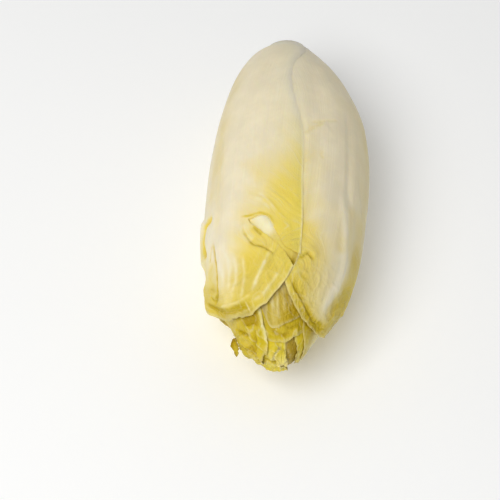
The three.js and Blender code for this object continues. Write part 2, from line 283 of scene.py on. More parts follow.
MIDDLE_LEAVES = [
    Leaf(
        "middle_leaf_top", -8, 2.6, 26,
        left=[(-78, 8.4), (-64, 30), (-40, 112), (-24, 130), (-13, 140)],
        right=[(62, 8.4), (62, 30), (64, 70), (62, 112), (56, 138)],
        tip=[(-13, 140), (-16, 146), (-10, 149.5), (8, 148.5), (32, 144), (56, 138)],
        cream=[
            (0, -70, 60), (90, -34, 10), (116, -22, -4), (121, -14, -12), (128, -2, -14), (150, 0, -14),
        ],
        step=0.6, fine_from=102, ragged=0.3, crumple=(119, 127, 0.4, 6.0), deep=(116, 128, 0.95),
    ),
    Leaf(
        "middle_leaf_left", -74, 2.6, 26,
        left=[(-150, 10.6), (-142, 32), (-138, 80), (-132, 140)],
        right=[(-8, 10.6), (-14, 32), (-20, 80), (-21, 146)],
        tip=[(-132, 140), (-118, 155), (-100, 158), (-60, 157.5), (-32, 155), (-23, 152), (-21, 146)],
        cream=cream_zone(-74, *MIDDLE_CREAM),
        step=0.62, fine_from=122, ragged=0.6, crumple=(140, 148, 1.0, 6.0), deep=(110, 146, 0.3),
    ),
    Leaf(
        "middle_leaf_right", 92, 2.6, 26,
        left=[(28, 11), (36, 34), (42, 80), (38, 142)],
        right=[(158, 11), (148, 34), (142, 80), (138, 138)],
        tip=[(38, 142), (40, 149), (66, 153.5), (102, 155), (122, 151), (138, 138)],
        cream=[(0, 22, 162), (90, 62, 122), (112, 76, 132), (155, 94, 142)],
        step=0.7, fine_from=116, ragged=0.4, crumple=(132, 148, 0.4, 6.0), deep=MIDDLE_DEEP_AND_SHADE,
    ),
    covered_leaf(
        "middle_leaf_under_left", 222, 55, 13, 148, 2.6, MIDDLE_CREAM,
        step=1.0, fine_from=112, ragged=0.5, crumple=(122, 142, 0.7, 6.0), deep=MIDDLE_DEEP_AND_SHADE,
    ),
    covered_leaf(
        "middle_leaf_under_right", 150, 56, 15, 148, 2.6, MIDDLE_CREAM,
        step=1.0, fine_from=112, ragged=0.5, crumple=(122, 142, 0.7, 6.0), deep=MIDDLE_DEEP_AND_SHADE,
    ),
]

INNER_LEAVES = [
    Leaf(
        "inner_leaf_top", 28, 2.2, 28,
        left=[(-40, 17), (-30, 44), (-27, 90), (-27, 149)],
        right=[(92, 17), (88, 44), (86, 90), (84, 138)],
        tip=[(-27, 149), (-22, 153), (9, 153.5), (39, 149.5), (62, 143.5), (84, 138)],
        cream=cream_zone(28, *INNER_CREAM),
        step=0.6, fine_from=130, ragged=0.35, crumple=(140, 150, 0.6, 5.0), deep=MIDDLE_DEEP_AND_SHADE,
    ),
    Leaf(
        "inner_leaf_right", 70, 2.2, 24,
        left=[(26, 21), (32, 45), (30, 100), (24, 142)],
        right=[(142, 21), (138, 45), (138, 100), (138, 144)],
        tip=[(24, 142), (28, 150.5), (50, 156), (76, 158), (112, 157), (130, 153), (138, 144)],
        cream=cream_zone(70, *INNER_CREAM),
        step=0.62, fine_from=130, ragged=0.6, crumple=(142, 152, 0.5, 4.0), deep=(112, 150, 0.2),
    ),
    Leaf(
        "inner_leaf_left", -36, 2.2, 28,
        left=[(-116, 22), (-108, 50), (-118, 110), (-160, 144), (-196, 154)],
        right=[(38, 22), (28, 100), (20, 140), (11, 151), (22, 159), (50, 162), (143, 162)],
        tip=[(-196, 154), (-215, 161), (-195, 163.5), (-100, 164), (50, 164), (143, 162)],
        cream=cream_zone(-36, *INNER_CREAM),
        step=0.6, fine_from=134, ragged=0.35, crumple=(150, 154, 0.9, 5.0), deep=(140, 158, 0.02),
    ),
    covered_leaf(
        "inner_leaf_under_left", 226, 56, 23, 161, 2.2, INNER_CREAM,
        step=0.75, fine_from=126, ragged=0.5, crumple=(136, 150, 0.9, 5.0), deep=MIDDLE_DEEP_AND_SHADE,
    ),
    covered_leaf(
        "inner_leaf_under_right", 132, 66, 25, 162.5, 2.2, INNER_CREAM,
        step=0.75, fine_from=126, ragged=0.5, crumple=(136, 150, 0.9, 4.0), deep=(120, 140, 1.0),
        sink=(1.0, 146, 153),
    ),
]

HEART_LEAVES = [
    covered_leaf(name, middle, half, base, end, thick, INNER_CREAM, blunt, step=1.3, fine_from=120,
                 ragged=0.7, crumple=(132, 148, 0.7, 5.0), deep=(120, 140, 1.0))
    for name, middle, half, base, end, thick, blunt in (
        ("heart_leaf_top", 20, 62, 27, 163.8, 1.8, 1.7),
        ("heart_leaf_left", -108, 58, 29, 154, 1.8, 0.55),
        ("heart_leaf_right", 104, 58, 31, 163, 1.8, 0.55),
        ("heart_leaf_under", 178, 58, 33, 163.8, 1.8, 1.7),
        ("bud_leaf_top", 36, 64, 35, 150, 1.5, 0.55),
        ("bud_leaf_left", -84, 64, 37, 146, 1.5, 0.55),
        ("bud_leaf_under", 158, 64, 39, 143, 1.5, 0.55),
    )
]

LAYERS = {
    "outer_leaf": OUTER_LEAVES, "middle_leaf": MIDDLE_LEAVES, "inner_leaf": INNER_LEAVES,
    "heart_leaf": HEART_LEAVES,
}
ALL_LEAVES = [leaf for layer in LAYERS.values() for leaf in layer]


# ---------------------------------------------------------------------- curves and noise

def spline(points, t):
    """A uniform Catmull-Rom spline through the points, at each t from 0 to 1."""
    p = np.array(points, float)
    last = len(p) - 1
    position = np.clip(t, 0, 1) * last
    i = np.minimum(position.astype(int), last - 1)
    w = (position - i)[:, None]
    before, start, end, after = p[np.maximum(i - 1, 0)], p[i], p[i + 1], p[np.minimum(i + 2, last)]
    enter, leave = (end - before) / 2, (after - start) / 2
    cubic = 2 * (start - end) + enter + leave
    square = 3 * (end - start) - 2 * enter - leave
    return cubic * w ** 3 + square * w ** 2 + enter * w + start


def evenly_along(points, u):
    """Places on the spline at even steps of its length, for u from 0 to 1."""
    t = np.linspace(0, 1, 201)
    steps = np.diff(spline(points, t), axis=0)
    length = np.concatenate([[0], np.cumsum(np.hypot(*steps.T))])
    return spline(points, np.interp(u * length[-1], length, t))


# Brings the noise to about -1 to 1.
NOISE_GAIN = 1.6


class Noise:
    """Gradient noise in three dimensions, the same on every run."""

    def __init__(self, seed):
        rng = np.random.default_rng(seed)
        self.order = np.tile(rng.permutation(256), 3)
        gradient = rng.normal(size=(256, 3))
        self.gradient = gradient / np.linalg.norm(gradient, axis=1, keepdims=True)

    def __call__(self, points):
        cell = np.floor(points).astype(int)
        offset = points - cell
        weight = offset ** 3 * (offset * (offset * 6 - 15) + 10)
        cell &= 255
        total = np.zeros(len(points))
        for dx in (0, 1):
            wx = weight[:, 0] if dx else 1 - weight[:, 0]
            for dy in (0, 1):
                wy = weight[:, 1] if dy else 1 - weight[:, 1]
                for dz in (0, 1):
                    wz = weight[:, 2] if dz else 1 - weight[:, 2]
                    corner = self.order[cell[:, 0] + dx]
                    corner = self.order[corner + cell[:, 1] + dy]
                    corner = self.order[corner + cell[:, 2] + dz]
                    slope = self.gradient[corner]
                    reach = offset - (dx, dy, dz)
                    total += wx * wy * wz * np.einsum("ij,ij->i", slope, reach)
        return total * NOISE_GAIN

    def fractal(self, points, octaves=3, gain=0.5):
        total = 0
        for octave in range(octaves):
            total = total + gain ** octave * self(points * 2 ** octave + 17.3 * octave)
        return total

    def puffs(self, points, octaves=3, gain=0.5):
        """Rounded swellings parted by sharp valleys, from 0 in a valley to about 1."""
        total = 0
        for octave in range(octaves):
            total = total + gain ** octave * np.abs(self(points * 2 ** octave + 9.1 * octave))
        return total


noise = Noise(SEED)


# ------------------------------------------------------------------- where each leaf lies

def outline_polygon(leaf):
    right_side = leaf.right + leaf.lower_right
    sides = [leaf.left, leaf.tip, right_side[::-1]]
    return np.concatenate([spline(side, np.linspace(0, 1, 4 * len(side) + 1)) for side in sides])


def polygon_distance(polygon, turned, along):
    """Distance in mm to a closed polygon of (angle, along) places: positive inside it."""
    scale = np.radians(head_radius(along))
    nearest = np.full(turned.shape, np.inf)
    inside = np.zeros(turned.shape, bool)
    for start, end in zip(polygon, np.roll(polygon, -1, axis=0)):
        ax, ay = (start[0] - turned) * scale, start[1] - along
        bx, by = (end[0] - turned) * scale, end[1] - along
        dx, dy = bx - ax, by - ay
        square = dx * dx + dy * dy
        t = np.clip(-(ax * dx + ay * dy) / np.maximum(square, 1e-12), 0, 1)
        nearest = np.minimum(nearest, (ax + t * dx) ** 2 + (ay + t * dy) ** 2)
        rise = np.where(dy == 0, 1, dy)
        inside ^= ((ay > 0) != (by > 0)) & (ax - ay * dx / rise > 0)
    return np.where(inside, 1, -1) * np.sqrt(nearest)


def margin_distance(leaf, angle, along):
    """Distance in mm from the leaf's margin: positive on the leaf, negative off it."""
    return polygon_distance(leaf.polygon, leaf.rib + wrapped(angle - leaf.rib), along)


def leaf_thickness(leaf, angle, along, inset):
    across = np.exp(-((wrapped(angle - leaf.rib) / leaf.rib_spread) ** 2))
    onward = np.clip(1 - (along - leaf.base) / (leaf.end - leaf.base), 0, 1)
    body = BLADE_THICKNESS + leaf.rib_thickness * across * onward
    edge = parting(along, STEM_EDGE, TIP_EDGE)
    grown = smoothstep(along - leaf.base, -1, BASE_RAMP)
    return edge + (body - edge) * smoothstep(inset, 0, EDGE_TAPER) * grown


def parting(along, at_stem, at_tip):
    return at_stem + (at_tip - at_stem) * smoothstep(along, PARTING_FROM, PARTING_TO)


# Fields over the whole head are kept on a grid of places and read back with cubic interpolation.
GRID_ANGLE = 1.0
GRID_ALONG = 0.75
GRID_SHAPE = (int(360 / GRID_ANGLE), int(PATH_LENGTH / GRID_ALONG) + 4)
grid_angle, grid_along = (a.ravel() for a in np.meshgrid(
    np.arange(GRID_SHAPE[0]) * GRID_ANGLE - 180, np.arange(GRID_SHAPE[1]) * GRID_ALONG, indexing="ij"))


def cubic_weights(t):
    return (
        ((2 - t) * t - 1) * t / 2,
        ((3 * t - 5) * t * t + 2) / 2,
        ((4 - 3 * t) * t + 1) * t / 2,
        (t - 1) * t * t / 2,
    )


def read_field(values, angle, along):
    values = values.reshape(GRID_SHAPE)
    x = (angle + 180) % 360 / GRID_ANGLE
    y = np.clip(along / GRID_ALONG, 0, GRID_SHAPE[1] - 1.001)
    i, j = x.astype(int), y.astype(int)
    total = 0
    for di, wi in zip((-1, 0, 1, 2), cubic_weights(x - i)):
        for dj, wj in zip((-1, 0, 1, 2), cubic_weights(y - j)):
            column = np.clip(j + dj, 0, GRID_SHAPE[1] - 1)
            total = total + wi * wj * values[(i + di) % GRID_SHAPE[0], column]
    return total


# ------------------------------------------------------------------------------- strokes

class Stroke:
    """A crease, slit or ridge drawn on a leaf. It follows (angle, along) points, sinks by `depth`
    (negative stands proud) and is about `width` wide, and swells by `lift` on one side up to `reach`
    away: side 1 is towards smaller angles when it runs to the tip. tint is what it adds to the
    leaf's yellow, dark yellow and pale; dark yellow along a crease paints its shade, and pale along
    some raised folds paints their highlight."""

    def __init__(self, points, width, depth, lift=0.0, reach=4.0, side=1, tint=(0, 0, 0),
                 tint_width=None):
        self.path = evenly_along(points, np.linspace(0, 1, 6 * len(points)))
        self.width = width
        self.depth = depth
        self.lift = lift
        self.reach = reach
        self.side = side
        self.tint = tint
        self.tint_width = tint_width or width * 1.3

    def measure(self, angle, along):
        """Signed distance in mm from the stroke, and how strongly it is drawn there, 0 to 1."""
        scale = np.radians(head_radius(along))
        nearest = np.full(angle.shape, np.inf)
        signed = np.full(angle.shape, 1e3)
        drawn = np.zeros(angle.shape)
        last = len(self.path) - 1
        for k, (start, end) in enumerate(zip(self.path[:-1], self.path[1:])):
            ax, ay = wrapped(start[0] - angle) * scale, start[1] - along
            dx, dy = (end[0] - start[0]) * scale, end[1] - start[1]
            t = np.clip(-(ax * dx + ay * dy) / np.maximum(dx * dx + dy * dy, 1e-12), 0, 1)
            px, py = ax + t * dx, ay + t * dy
            square = px * px + py * py
            closer = square < nearest
            nearest = np.where(closer, square, nearest)
            sign = np.where(px * dy - py * dx > 0, 1, -1)
            signed = np.where(closer, sign * np.sqrt(square), signed)
            drawn = np.where(closer, (k + t) / last, drawn)
        fade = np.minimum(drawn, 1 - drawn) * 2
        return signed, smoothstep(fade, -0.02, 0.35)

    def relief(self, angle, along, spread=0.0):
        """Height in mm. With a spread, only the groove, widened, for the leaves beneath."""
        signed, strength = self.measure(angle, along)
        groove = -self.depth * np.exp(-((signed / (self.width + spread)) ** 2))
        if spread:
            return groove * strength
        away = np.maximum(signed * self.side, 0) / self.reach
        swell = self.lift * away * np.exp(1 - away) * (away < 6)
        return (groove + swell) * strength

    def colour(self, angle, along):
        signed, strength = self.measure(angle, along)
        amount = np.exp(-((signed / self.tint_width) ** 2)) * strength
        return amount[:, None] * np.array(self.tint)


# What a pale streak adds to the leaf's yellow, dark yellow and pale: the streaks are partly veins and
# partly painted highlights along wrinkles.
STREAK = (-0.2, -0.16, 0.17)


def streaks(*rows):
    """Pale streaks, from rows of (width, depth, points)."""
    return [Stroke(points, width, depth, tint=STREAK) for width, depth, points in rows]


STROKES = {
    "outer_leaf_left": [
        # The slit at the left, with its lip. The yellow and dark yellow down the slit are partly painted
        # shade in the crevice.
        Stroke([(-62, 99.6), (-71, 99), (-79, 100.2), (-83.5, 103.5), (-83, 108), (-77, 113)], 1.0, 1.8,
               tint=(1.6, 0.3, 0), tint_width=1.7),
        Stroke([(-76, 95), (-88, 98), (-92, 104), (-91, 110), (-86, 115)], 2.2, -1.4,
               tint=(-0.4, -0.2, 0.4), tint_width=0.8),
        # The long crease down the left, and the forks at its ends, with their shade painted in dark yellow.
        Stroke([(-61, 111), (-58.8, 117), (-57.6, 125), (-59, 131), (-63, 134.3), (-73, 135.5)], 0.5,
               1.3, lift=0.7, reach=3.5, side=-1, tint=(0.9, 1.1, 0), tint_width=0.75),
        Stroke([(-61.5, 111.5), (-66, 114.5), (-69, 118.5)], 0.5, 0.5, tint=(0.4, 0.4, 0)),
        Stroke([(-68, 118), (-67, 126), (-71, 132)], 4.0, 0.4, tint=(0.35, 0.15, 0), tint_width=4.5),
        Stroke([(-62, 133), (-70, 134), (-75, 131)], 0.4, 0.5, tint=(0.4, 0.5, 0)),
        # The hem at the tip: a fold above a rolled edge. Dark yellow in the fold and in the broad band
        # along the edge is painted shade, and pale on the two ridges above the edge is painted highlight.
        Stroke([(-86, 130.5), (-78, 134.8), (-70, 138), (-60, 140.4), (-50, 141.4), (-41, 141.6),
               (-32, 141)], 0.6, 0.8, tint=(0.6, 1.0, 0), tint_width=0.9),
        Stroke([(-66, 138), (-55, 139.3), (-43, 140), (-33, 139.4), (-24, 138.4)], 0.5, -0.5,
               tint=(0, -0.2, 0.25), tint_width=0.5),
        Stroke([(-64, 141.4), (-55, 142.6), (-45, 143.2), (-34, 143.2), (-24, 142.2)], 0.6, -0.4,
               tint=(0.2, -0.2, 0.15), tint_width=0.5),
        Stroke([(-82, 136.4), (-72, 140.2), (-62, 142.6), (-50, 143.6), (-38, 143.8), (-24, 142)], 1.6,
               0.1, tint=(1.0, 0.6, 0), tint_width=2.6),
        Stroke([(-33.5, 140.2), (-32.5, 142), (-31.5, 144)], 0.3, -0.12, tint=(-0.3, -0.3, 0.35),
               tint_width=0.3),
        # The folded band below the tear, its far edge pale. Dark yellow along its creases is painted shade.
        Stroke([(-30, 109.5), (-28.5, 114.2), (-24.5, 117.6), (-20.5, 120.2), (-13, 121.8), (-3, 125)],
               0.35, 0.5, lift=0.6, reach=1.4, tint=(0.7, 0.6, 0), tint_width=0.5),
        Stroke([(-30, 110), (-26.5, 115.4), (-21, 118.6)], 1.2, -0.3, tint=(-0.1, -0.2, 0.3)),
        Stroke([(-27, 111.5), (-22, 115.5), (-14, 118.5), (-5, 121.8)], 2.2, 0.1, tint=(0.3, 0.2, 0.1)),
        Stroke([(-22, 112.6), (-18, 114.8), (-14.5, 116.6)], 0.5, 0.2, tint=(0.9, 0.7, 0),
               tint_width=0.8),
        Stroke([(-33, 106.8), (-26, 107.6), (-17, 107.2), (-10, 109), (-4, 113.6)], 0.3, 0.1,
               tint=(0.9, 0.5, 0), tint_width=0.4),
        # Pale streaks that run down into the lower flap: partly veins and partly painted highlights along
        # its wrinkles.
        *streaks(
            (0.5, -0.1, [(-5, 121), (-8, 124.5), (-12.5, 129), (-18.5, 134), (-25, 138.5)]),
            (0.5, -0.1, [(-9, 126), (-15, 132), (-21, 137)]),
            (0.5, -0.15, [(3, 130), (-5, 135.6), (-15, 139.4), (-27, 141)]),
            (0.6, -0.1, [(-60, 117), (-53, 122), (-49, 128), (-50, 134)]),
            (0.6, -0.1, [(-50, 115), (-43, 123), (-42, 130), (-47, 136)]),
            (0.6, -0.1, [(-40, 120), (-36, 127), (-37, 133), (-48, 138)]),
            (0.5, -0.1, [(-30, 123), (-28, 131), (-33, 137), (-40, 140)]),
            (0.5, -0.05, [(-22, 99.6), (-16.5, 102), (-9, 106.6)]),
            (0.4, -0.05, [(-20, 97.6), (-13, 101.4), (-5, 108)]),
        ),
        # The flat facet down the left side, with faint painted shade, and the swelling where it meets the
        # tip.
        Stroke([(-64, 49), (-59.5, 67), (-55, 86), (-53.5, 101), (-56, 113)], 1.6, 0.4,
               tint=(0.1, 0.05, 0), tint_width=3.0),
        Stroke([(-98, 119), (-94, 127), (-90, 132), (-84, 138)], 4.0, -1.4),
        # A broad band of yellow and dark yellow down the left side: painted shade.
        Stroke([(-58, 16), (-62, 40), (-64, 70), (-68, 100)], 6.0, 0.2, tint=(0.24, 0.16, 0),
               tint_width=6.0),
    ],
    "outer_leaf_right": [
        # The midrib is a soft ridge towards the tip, with a sunk lobe on its right.
        Stroke([(42, 92), (47, 104), (53, 114), (57.5, 122), (57.5, 129), (54, 136), (50.5, 142.5)],
               1.9, -0.6, tint=(-0.4, -0.4, 0.1), tint_width=2.0),
        Stroke([(62, 92), (66, 106), (72, 118), (72, 128), (66, 136), (60, 143)], 3.8, 1.0),
        Stroke([(76, 104), (76, 116), (74, 128), (68, 136), (60, 143)], 5.0, 0.1, tint=(0.35, 0.22, 0),
               tint_width=7.0),
        # Yellow and dark yellow towards its right silhouette: painted shade.
        Stroke([(66, 14), (70, 50), (74, 80), (80, 108), (86, 134)], 9.0, 0.3, tint=(0.26, 0.16, 0),
               tint_width=11.0),
        Stroke([(46, 96), (50, 108), (52, 120)], 3.0, 0.0, tint=(0.3, 0.08, 0), tint_width=7.0),
        # It starts a little lower than the leaf beside it.
        Stroke([(36, 6), (44, 10), (54, 12.5), (64, 14), (74, 16)], 3.0, 0.8),
        # The rolled margin below the hooked fold, with the shade in its creases painted in dark yellow.
        Stroke([(9, 132), (15.5, 136.5), (21.5, 139.2), (29, 142), (40.5, 144.6), (50, 145.2),
               (56, 144.6)], 0.45, 0.6, lift=0.5, reach=1.5, tint=(0.9, 0.8, 0), tint_width=0.8),
        Stroke([(8, 136), (13, 140.6), (22, 143.6), (38, 146.2), (56, 147), (73, 146.2)], 2.2, 0.1,
               tint=(0.9, 0.75, 0), tint_width=2.0),
        Stroke([(52, 144.2), (55.5, 144.9), (60, 145)], 0.5, 0.5, tint=(0.5, 1.0, 0)),
        Stroke([(10.5, 128.5), (14, 126.2), (17.5, 125), (19.5, 123.8), (22, 123), (24.5, 123.8),
               (28, 125.5)], 0.4, 0.6, lift=0.7, reach=1.5, side=-1, tint=(0.9, 0.9, 0),
               tint_width=0.5),
        # A thin fold across the leaf, and a few marks.
        Stroke([(13, 64), (20, 62.2), (25, 61), (30, 59.8), (36, 58.2)], 0.55, 0.2, tint=(0.18, 0, 0)),
        Stroke([(8, 71), (13.5, 67.8), (19, 64.5), (25, 61.2)], 0.6, 0.25, lift=0.25, reach=1.5,
               tint=(0.2, 0, 0)),
        Stroke([(11, 66.5), (16, 64.5), (22, 62)], 1.2, -0.1, tint=(0.12, 0, 0)),
        Stroke([(23.5, 76.5), (22, 79), (24.5, 80.5)], 0.5, 0.1, tint=(0.2, 0.06, 0)),
        # Soft lengthwise facets, and the fan of grooves near the stem.
        Stroke([(44.5, 48), (44.5, 66), (46, 87), (51.5, 97), (59, 109)], 1.4, 0.22),
        Stroke([(58, 50), (58, 70), (60, 84), (72, 93), (84, 100)], 1.6, 0.25),
        Stroke([(34, 12), (38, 24), (40, 44)], 2.0, 0.18),
        Stroke([(50, 9), (58, 24), (62, 46)], 2.6, 0.25),
    ],
    "middle_leaf_left": [
        # Its right margin is pale, a painted highlight, and stands beside a hollow whose shade is painted
        # in dark yellow.
        Stroke([(-22.5, 139), (-24, 145), (-24, 150), (-29, 154)], 0.5, -0.15, tint=(-0.3, -0.7, 0.3)),
        Stroke([(-30, 139), (-32, 144), (-38, 147.5)], 1.5, 0.5, tint=(0.4, 0.9, 0), tint_width=2.4),
        Stroke([(-38, 139), (-42, 143.5), (-46, 147.5)], 1.2, 0.4, tint=(0.5, 1.2, 0), tint_width=2.6),
        Stroke([(-78.5, 152), (-75.5, 153.5), (-70, 153.6), (-64, 153)], 0.5, 0.7, lift=0.4, reach=1.5,
               tint=(0, 0.9, 0)),
        # Folds: a smooth tongue down to the tip, and creases across the left, their shade painted in dark
        # yellow.
        Stroke([(-34, 148.6), (-46, 151.5), (-62.5, 154), (-79, 156.2), (-98, 157)], 0.45, 0.6,
               lift=0.5, reach=1.6, side=-1, tint=(0.3, 0.6, 0), tint_width=0.5),
        Stroke([(-76, 144), (-66, 146.6), (-57, 148.8), (-46, 150)], 0.5, 0.6, lift=0.4, reach=1.5,
               tint=(0.2, 0.6, 0)),
        Stroke([(-92.5, 149), (-82, 151.6), (-70, 152.6), (-60, 153)], 0.5, 0.7, lift=0.4, reach=1.5,
               tint=(0.2, 0.7, 0)),
    ],
    "middle_leaf_top": [
        # The pale rib: proud where it shows in the tear, thin below it.
        Stroke([(-38, 94), (-26, 103), (-17, 108), (-11, 112), (-6, 117)], 3.4, -0.9,
               tint=(-1.0, -0.6, 1.2), tint_width=3.3),
        # Here dark yellow is taken out and pale added: painted light over the shade in the tear, and a
        # painted sheen.
        Stroke([(-4, 116), (6, 121.6), (13, 124), (20, 125), (30, 127)], 2.6, -0.9,
               tint=(0, -0.6, 0.15), tint_width=2.2),
        # Pale streaks: partly veins and partly painted highlights along wrinkles.
        Stroke([(-9, 132), (-6, 138), (-6, 145)], 0.6, -0.2, tint=STREAK),
        Stroke([(-4, 132), (0, 138), (0, 146)], 0.5, -0.2, tint=(-0.2, -0.2, 0.18)),
        Stroke([(1, 133), (7, 138), (8, 144)], 0.6, -0.2, tint=STREAK),
        Stroke([(4, 133), (13, 138), (16, 143)], 0.6, -0.2, tint=STREAK),
    ],
    "inner_leaf_top": [
        # Two folds near the tip, their shade painted in dark yellow.
        Stroke([(-14, 149), (-4, 151), (8, 151.4), (20, 150)], 0.5, 0.4, lift=0.4, reach=1.5,
               tint=(0.2, 0.5, 0)),
        Stroke([(4, 147), (12, 149), (22, 148.6), (34, 146)], 0.5, 0.3, lift=0.3, reach=1.5,
               tint=(0.2, 0.4, 0)),
    ],
    "inner_leaf_left": [
        # The facets of the folded tip, and its lower lip, the shade in the lip's crease painted in dark
        # yellow.
        Stroke([(6, 153), (-5, 156.4), (-32, 159.6), (-45, 162)], 0.35, 0.6, lift=0.6, reach=1.2,
               tint=(-0.3, -0.3, 0.4), tint_width=0.4),
        Stroke([(-72, 157), (-59, 160), (-46, 162.4)], 0.4, 0.7, lift=0.5, reach=1.2,
               tint=(0.4, 0.8, 0)),
    ],
}


# A soft valley runs down from the stem, where one outer leaf meets the other. All leaves share it.
VALLEY = Stroke([(54, 4), (42, 11), (31, 19), (22, 28), (18, 39), (18, 50), (19, 62)], 5.0, 0.8)


def shared_height(angle, along, points):
    """The head's own unevenness, the same for every leaf."""
    return 0.5 * noise(points / 26) + VALLEY.relief(angle, along)


# ---------------------------------------------------------------------- stacking the leaves

def stack_leaves():
    """Gives every leaf its depth below the envelope and how far it is exposed, on the grid."""
    tear_hole = np.concatenate([
        evenly_along(TEAR["upper"], np.linspace(0, 1, 24)),
        evenly_along(TEAR["lower"][::-1], np.linspace(0, 1, 24)),
    ])
    in_tear = smoothstep(polygon_distance(tear_hole, grid_angle, grid_along), -1.0, 0.6)
    side_step = np.where(
        grid_angle < 0, smooth_through(LEFT_STEP)(grid_along), smooth_through(RIGHT_STEP)(grid_along))
    step = smooth_through(INNER_STEP)(grid_along)
    step = step + side_step * smoothstep(np.abs(grid_angle), SIDE_FROM, SIDE_FULL)
    depth = np.zeros(grid_angle.shape)
    exposed = np.ones(grid_angle.shape)
    for leaf in ALL_LEAVES:
        leaf.polygon = outline_polygon(leaf)
        if leaf is MIDDLE_LEAVES[0]:
            depth = depth + step
        sunk, sink_from, sink_to = leaf.sink
        leaf.depth = depth + sunk * smoothstep(grid_along, sink_from, sink_to)
        leaf.exposed = exposed
        inset = margin_distance(leaf, grid_angle, grid_along)
        cover = 1 - smoothstep(-inset, MARGIN_HOLD, MARGIN_RELEASE)
        thick = leaf_thickness(leaf, grid_angle, grid_along, inset)
        gap = parting(grid_along, STEM_GAP, TIP_GAP)
        grooves = np.zeros(grid_angle.shape)
        for stroke in STROKES.get(leaf.name, []):
            if stroke.depth > 0:
                grooves = np.minimum(grooves, stroke.relief(grid_angle, grid_along, GROOVE_SPREAD))
        depth = depth + (thick + gap - grooves * exposed) * cover
        hidden = smoothstep(inset, -UNDER_MARGIN, 0)
        if leaf.tear:
            hidden = hidden * (1 - in_tear)
        exposed = exposed * (1 - hidden)
    return depth


# ---------------------------------------------------------------------------- leaf meshes

def coons_patch(bottom, top, left, right, u, v):
    """The patch between four rows of places: bottom and top at each u, left and right at each v."""
    u, v = u[None, :, None], v[:, None, None]
    corners = (
        (1 - u) * (1 - v) * bottom[0] + u * (1 - v) * bottom[-1] + (1 - u) * v * top[0] + u * v * top[-1]
    )
    return (1 - v) * bottom + v * top + (1 - u) * left[:, None] + u * right[:, None] - corners


TEAR_RAGGED = 0.3
# The mesh takes its columns from the size of a quad on a head of this radius.
USUAL_RADIUS = 30
COLUMNS_MULTIPLE = 5


def ragged_edge(places, amount, seed):
    """Small nicks along a free edge. Its two ends stay where they are."""
    u = np.linspace(0, 1, len(places))
    scale = np.radians(head_radius(places[:, 1]))
    steps = np.hypot(np.diff(places[:, 0]) * scale[1:], np.diff(places[:, 1]))
    run = np.concatenate([[0], np.cumsum(steps)])
    line = np.stack([run / 5, np.full(run.shape, seed * 3.7), np.zeros(run.shape)], -1)
    held = np.sin(np.pi * u) ** 0.4
    nicks = places.copy()
    nicks[:, 1] += amount * held * noise.fractal(line, octaves=4, gain=0.65) * 1.5
    return nicks


def row_steps(leaf, end):
    """Rows from the base to an end: three times as coarse up to fine_from."""
    share = np.clip((leaf.fine_from - leaf.base) / (end - leaf.base), 0, 1)
    length = end - leaf.base
    coarse = int(share * length / (3 * leaf.step))
    fine = int((1 - share) * length / leaf.step)
    return np.concatenate([np.linspace(0, share, coarse + 1)[:-1], np.linspace(share, 1, fine + 1)])


def grid_quads(rows, columns):
    first = (np.arange(rows - 1)[:, None] * columns + np.arange(columns - 1)).ravel()
    return np.stack([first, first + columns, first + columns + 1, first + 1], -1)


def leaf_sheet(leaf, seed):
    """Places over the leaf's outline, and the quads between them."""
    widest = max(leaf.right[0][0] - leaf.left[0][0], leaf.tip[-1][0] - leaf.left[-1][0])
    columns = int(math.radians(widest) * USUAL_RADIUS / leaf.step / COLUMNS_MULTIPLE) * COLUMNS_MULTIPLE
    u = np.linspace(0, 1, columns + 1)
    bottom = evenly_along([leaf.left[0], leaf.right[0]], u)
    top = ragged_edge(evenly_along(leaf.tip, u), leaf.ragged, seed)
    if not leaf.tear:
        v = row_steps(leaf, leaf.end)
        sides = [evenly_along(side, v) for side in (leaf.left, leaf.right)]
        places = coons_patch(bottom, top, *sides, u, v)
        return places.reshape(-1, 2), grid_quads(len(v), columns + 1)

    shared = int(columns * TEAR_SHARE)
    joined = evenly_along(leaf.tear["joined"], np.linspace(0, 1, shared + 1))
    seams = []
    for k, name in enumerate(("upper", "lower")):
        torn = evenly_along(leaf.tear[name], np.linspace(0, 1, columns - shared + 1))
        seams.append(np.concatenate([joined[:-1], ragged_edge(torn, TEAR_RAGGED, seed + k + 1)]))
    split = leaf.left.index(leaf.tear["joined"][0])
    joined_at = leaf.tear["joined"][1][1]
    above = row_steps(leaf, joined_at)
    below = np.linspace(0, 1, int((leaf.end - joined_at) / leaf.step))
    sides_above = [evenly_along(side, above) for side in (leaf.left[:split + 1], leaf.right)]
    sides_below = [evenly_along(side, below) for side in (leaf.left[split:], leaf.lower_right)]
    upper = coons_patch(bottom, seams[0], *sides_above, u, above)
    lower = coons_patch(seams[1], top, *sides_below, u, below)
    quads = grid_quads(len(above), columns + 1)
    lower_quads = grid_quads(len(below), columns + 1)
    last_row = upper.shape[0] * upper.shape[1] - (columns + 1)
    joined_up = lower_quads <= shared
    lower_quads = np.where(joined_up, lower_quads + last_row, lower_quads + last_row + columns + 1)
    places = np.concatenate([upper.reshape(-1, 2), lower.reshape(-1, 2)])
    return places, np.concatenate([quads, lower_quads])


def vein_phase(across, along, inset, points):
    """Lateral veins run from the rib outwards and on towards the tip, then follow the margin."""
    drift = 1.0 * noise.fractal(points / 22, octaves=2) + 0.2 * noise(points / 6)
    turning = 0.8 * (1 - smoothstep(inset, 2, 15)) * smoothstep(along, 112, 130)
    return ((along - 0.85 * np.abs(across)) * (1 - turning) + inset * 1.3 * turning) / 4.2 + drift


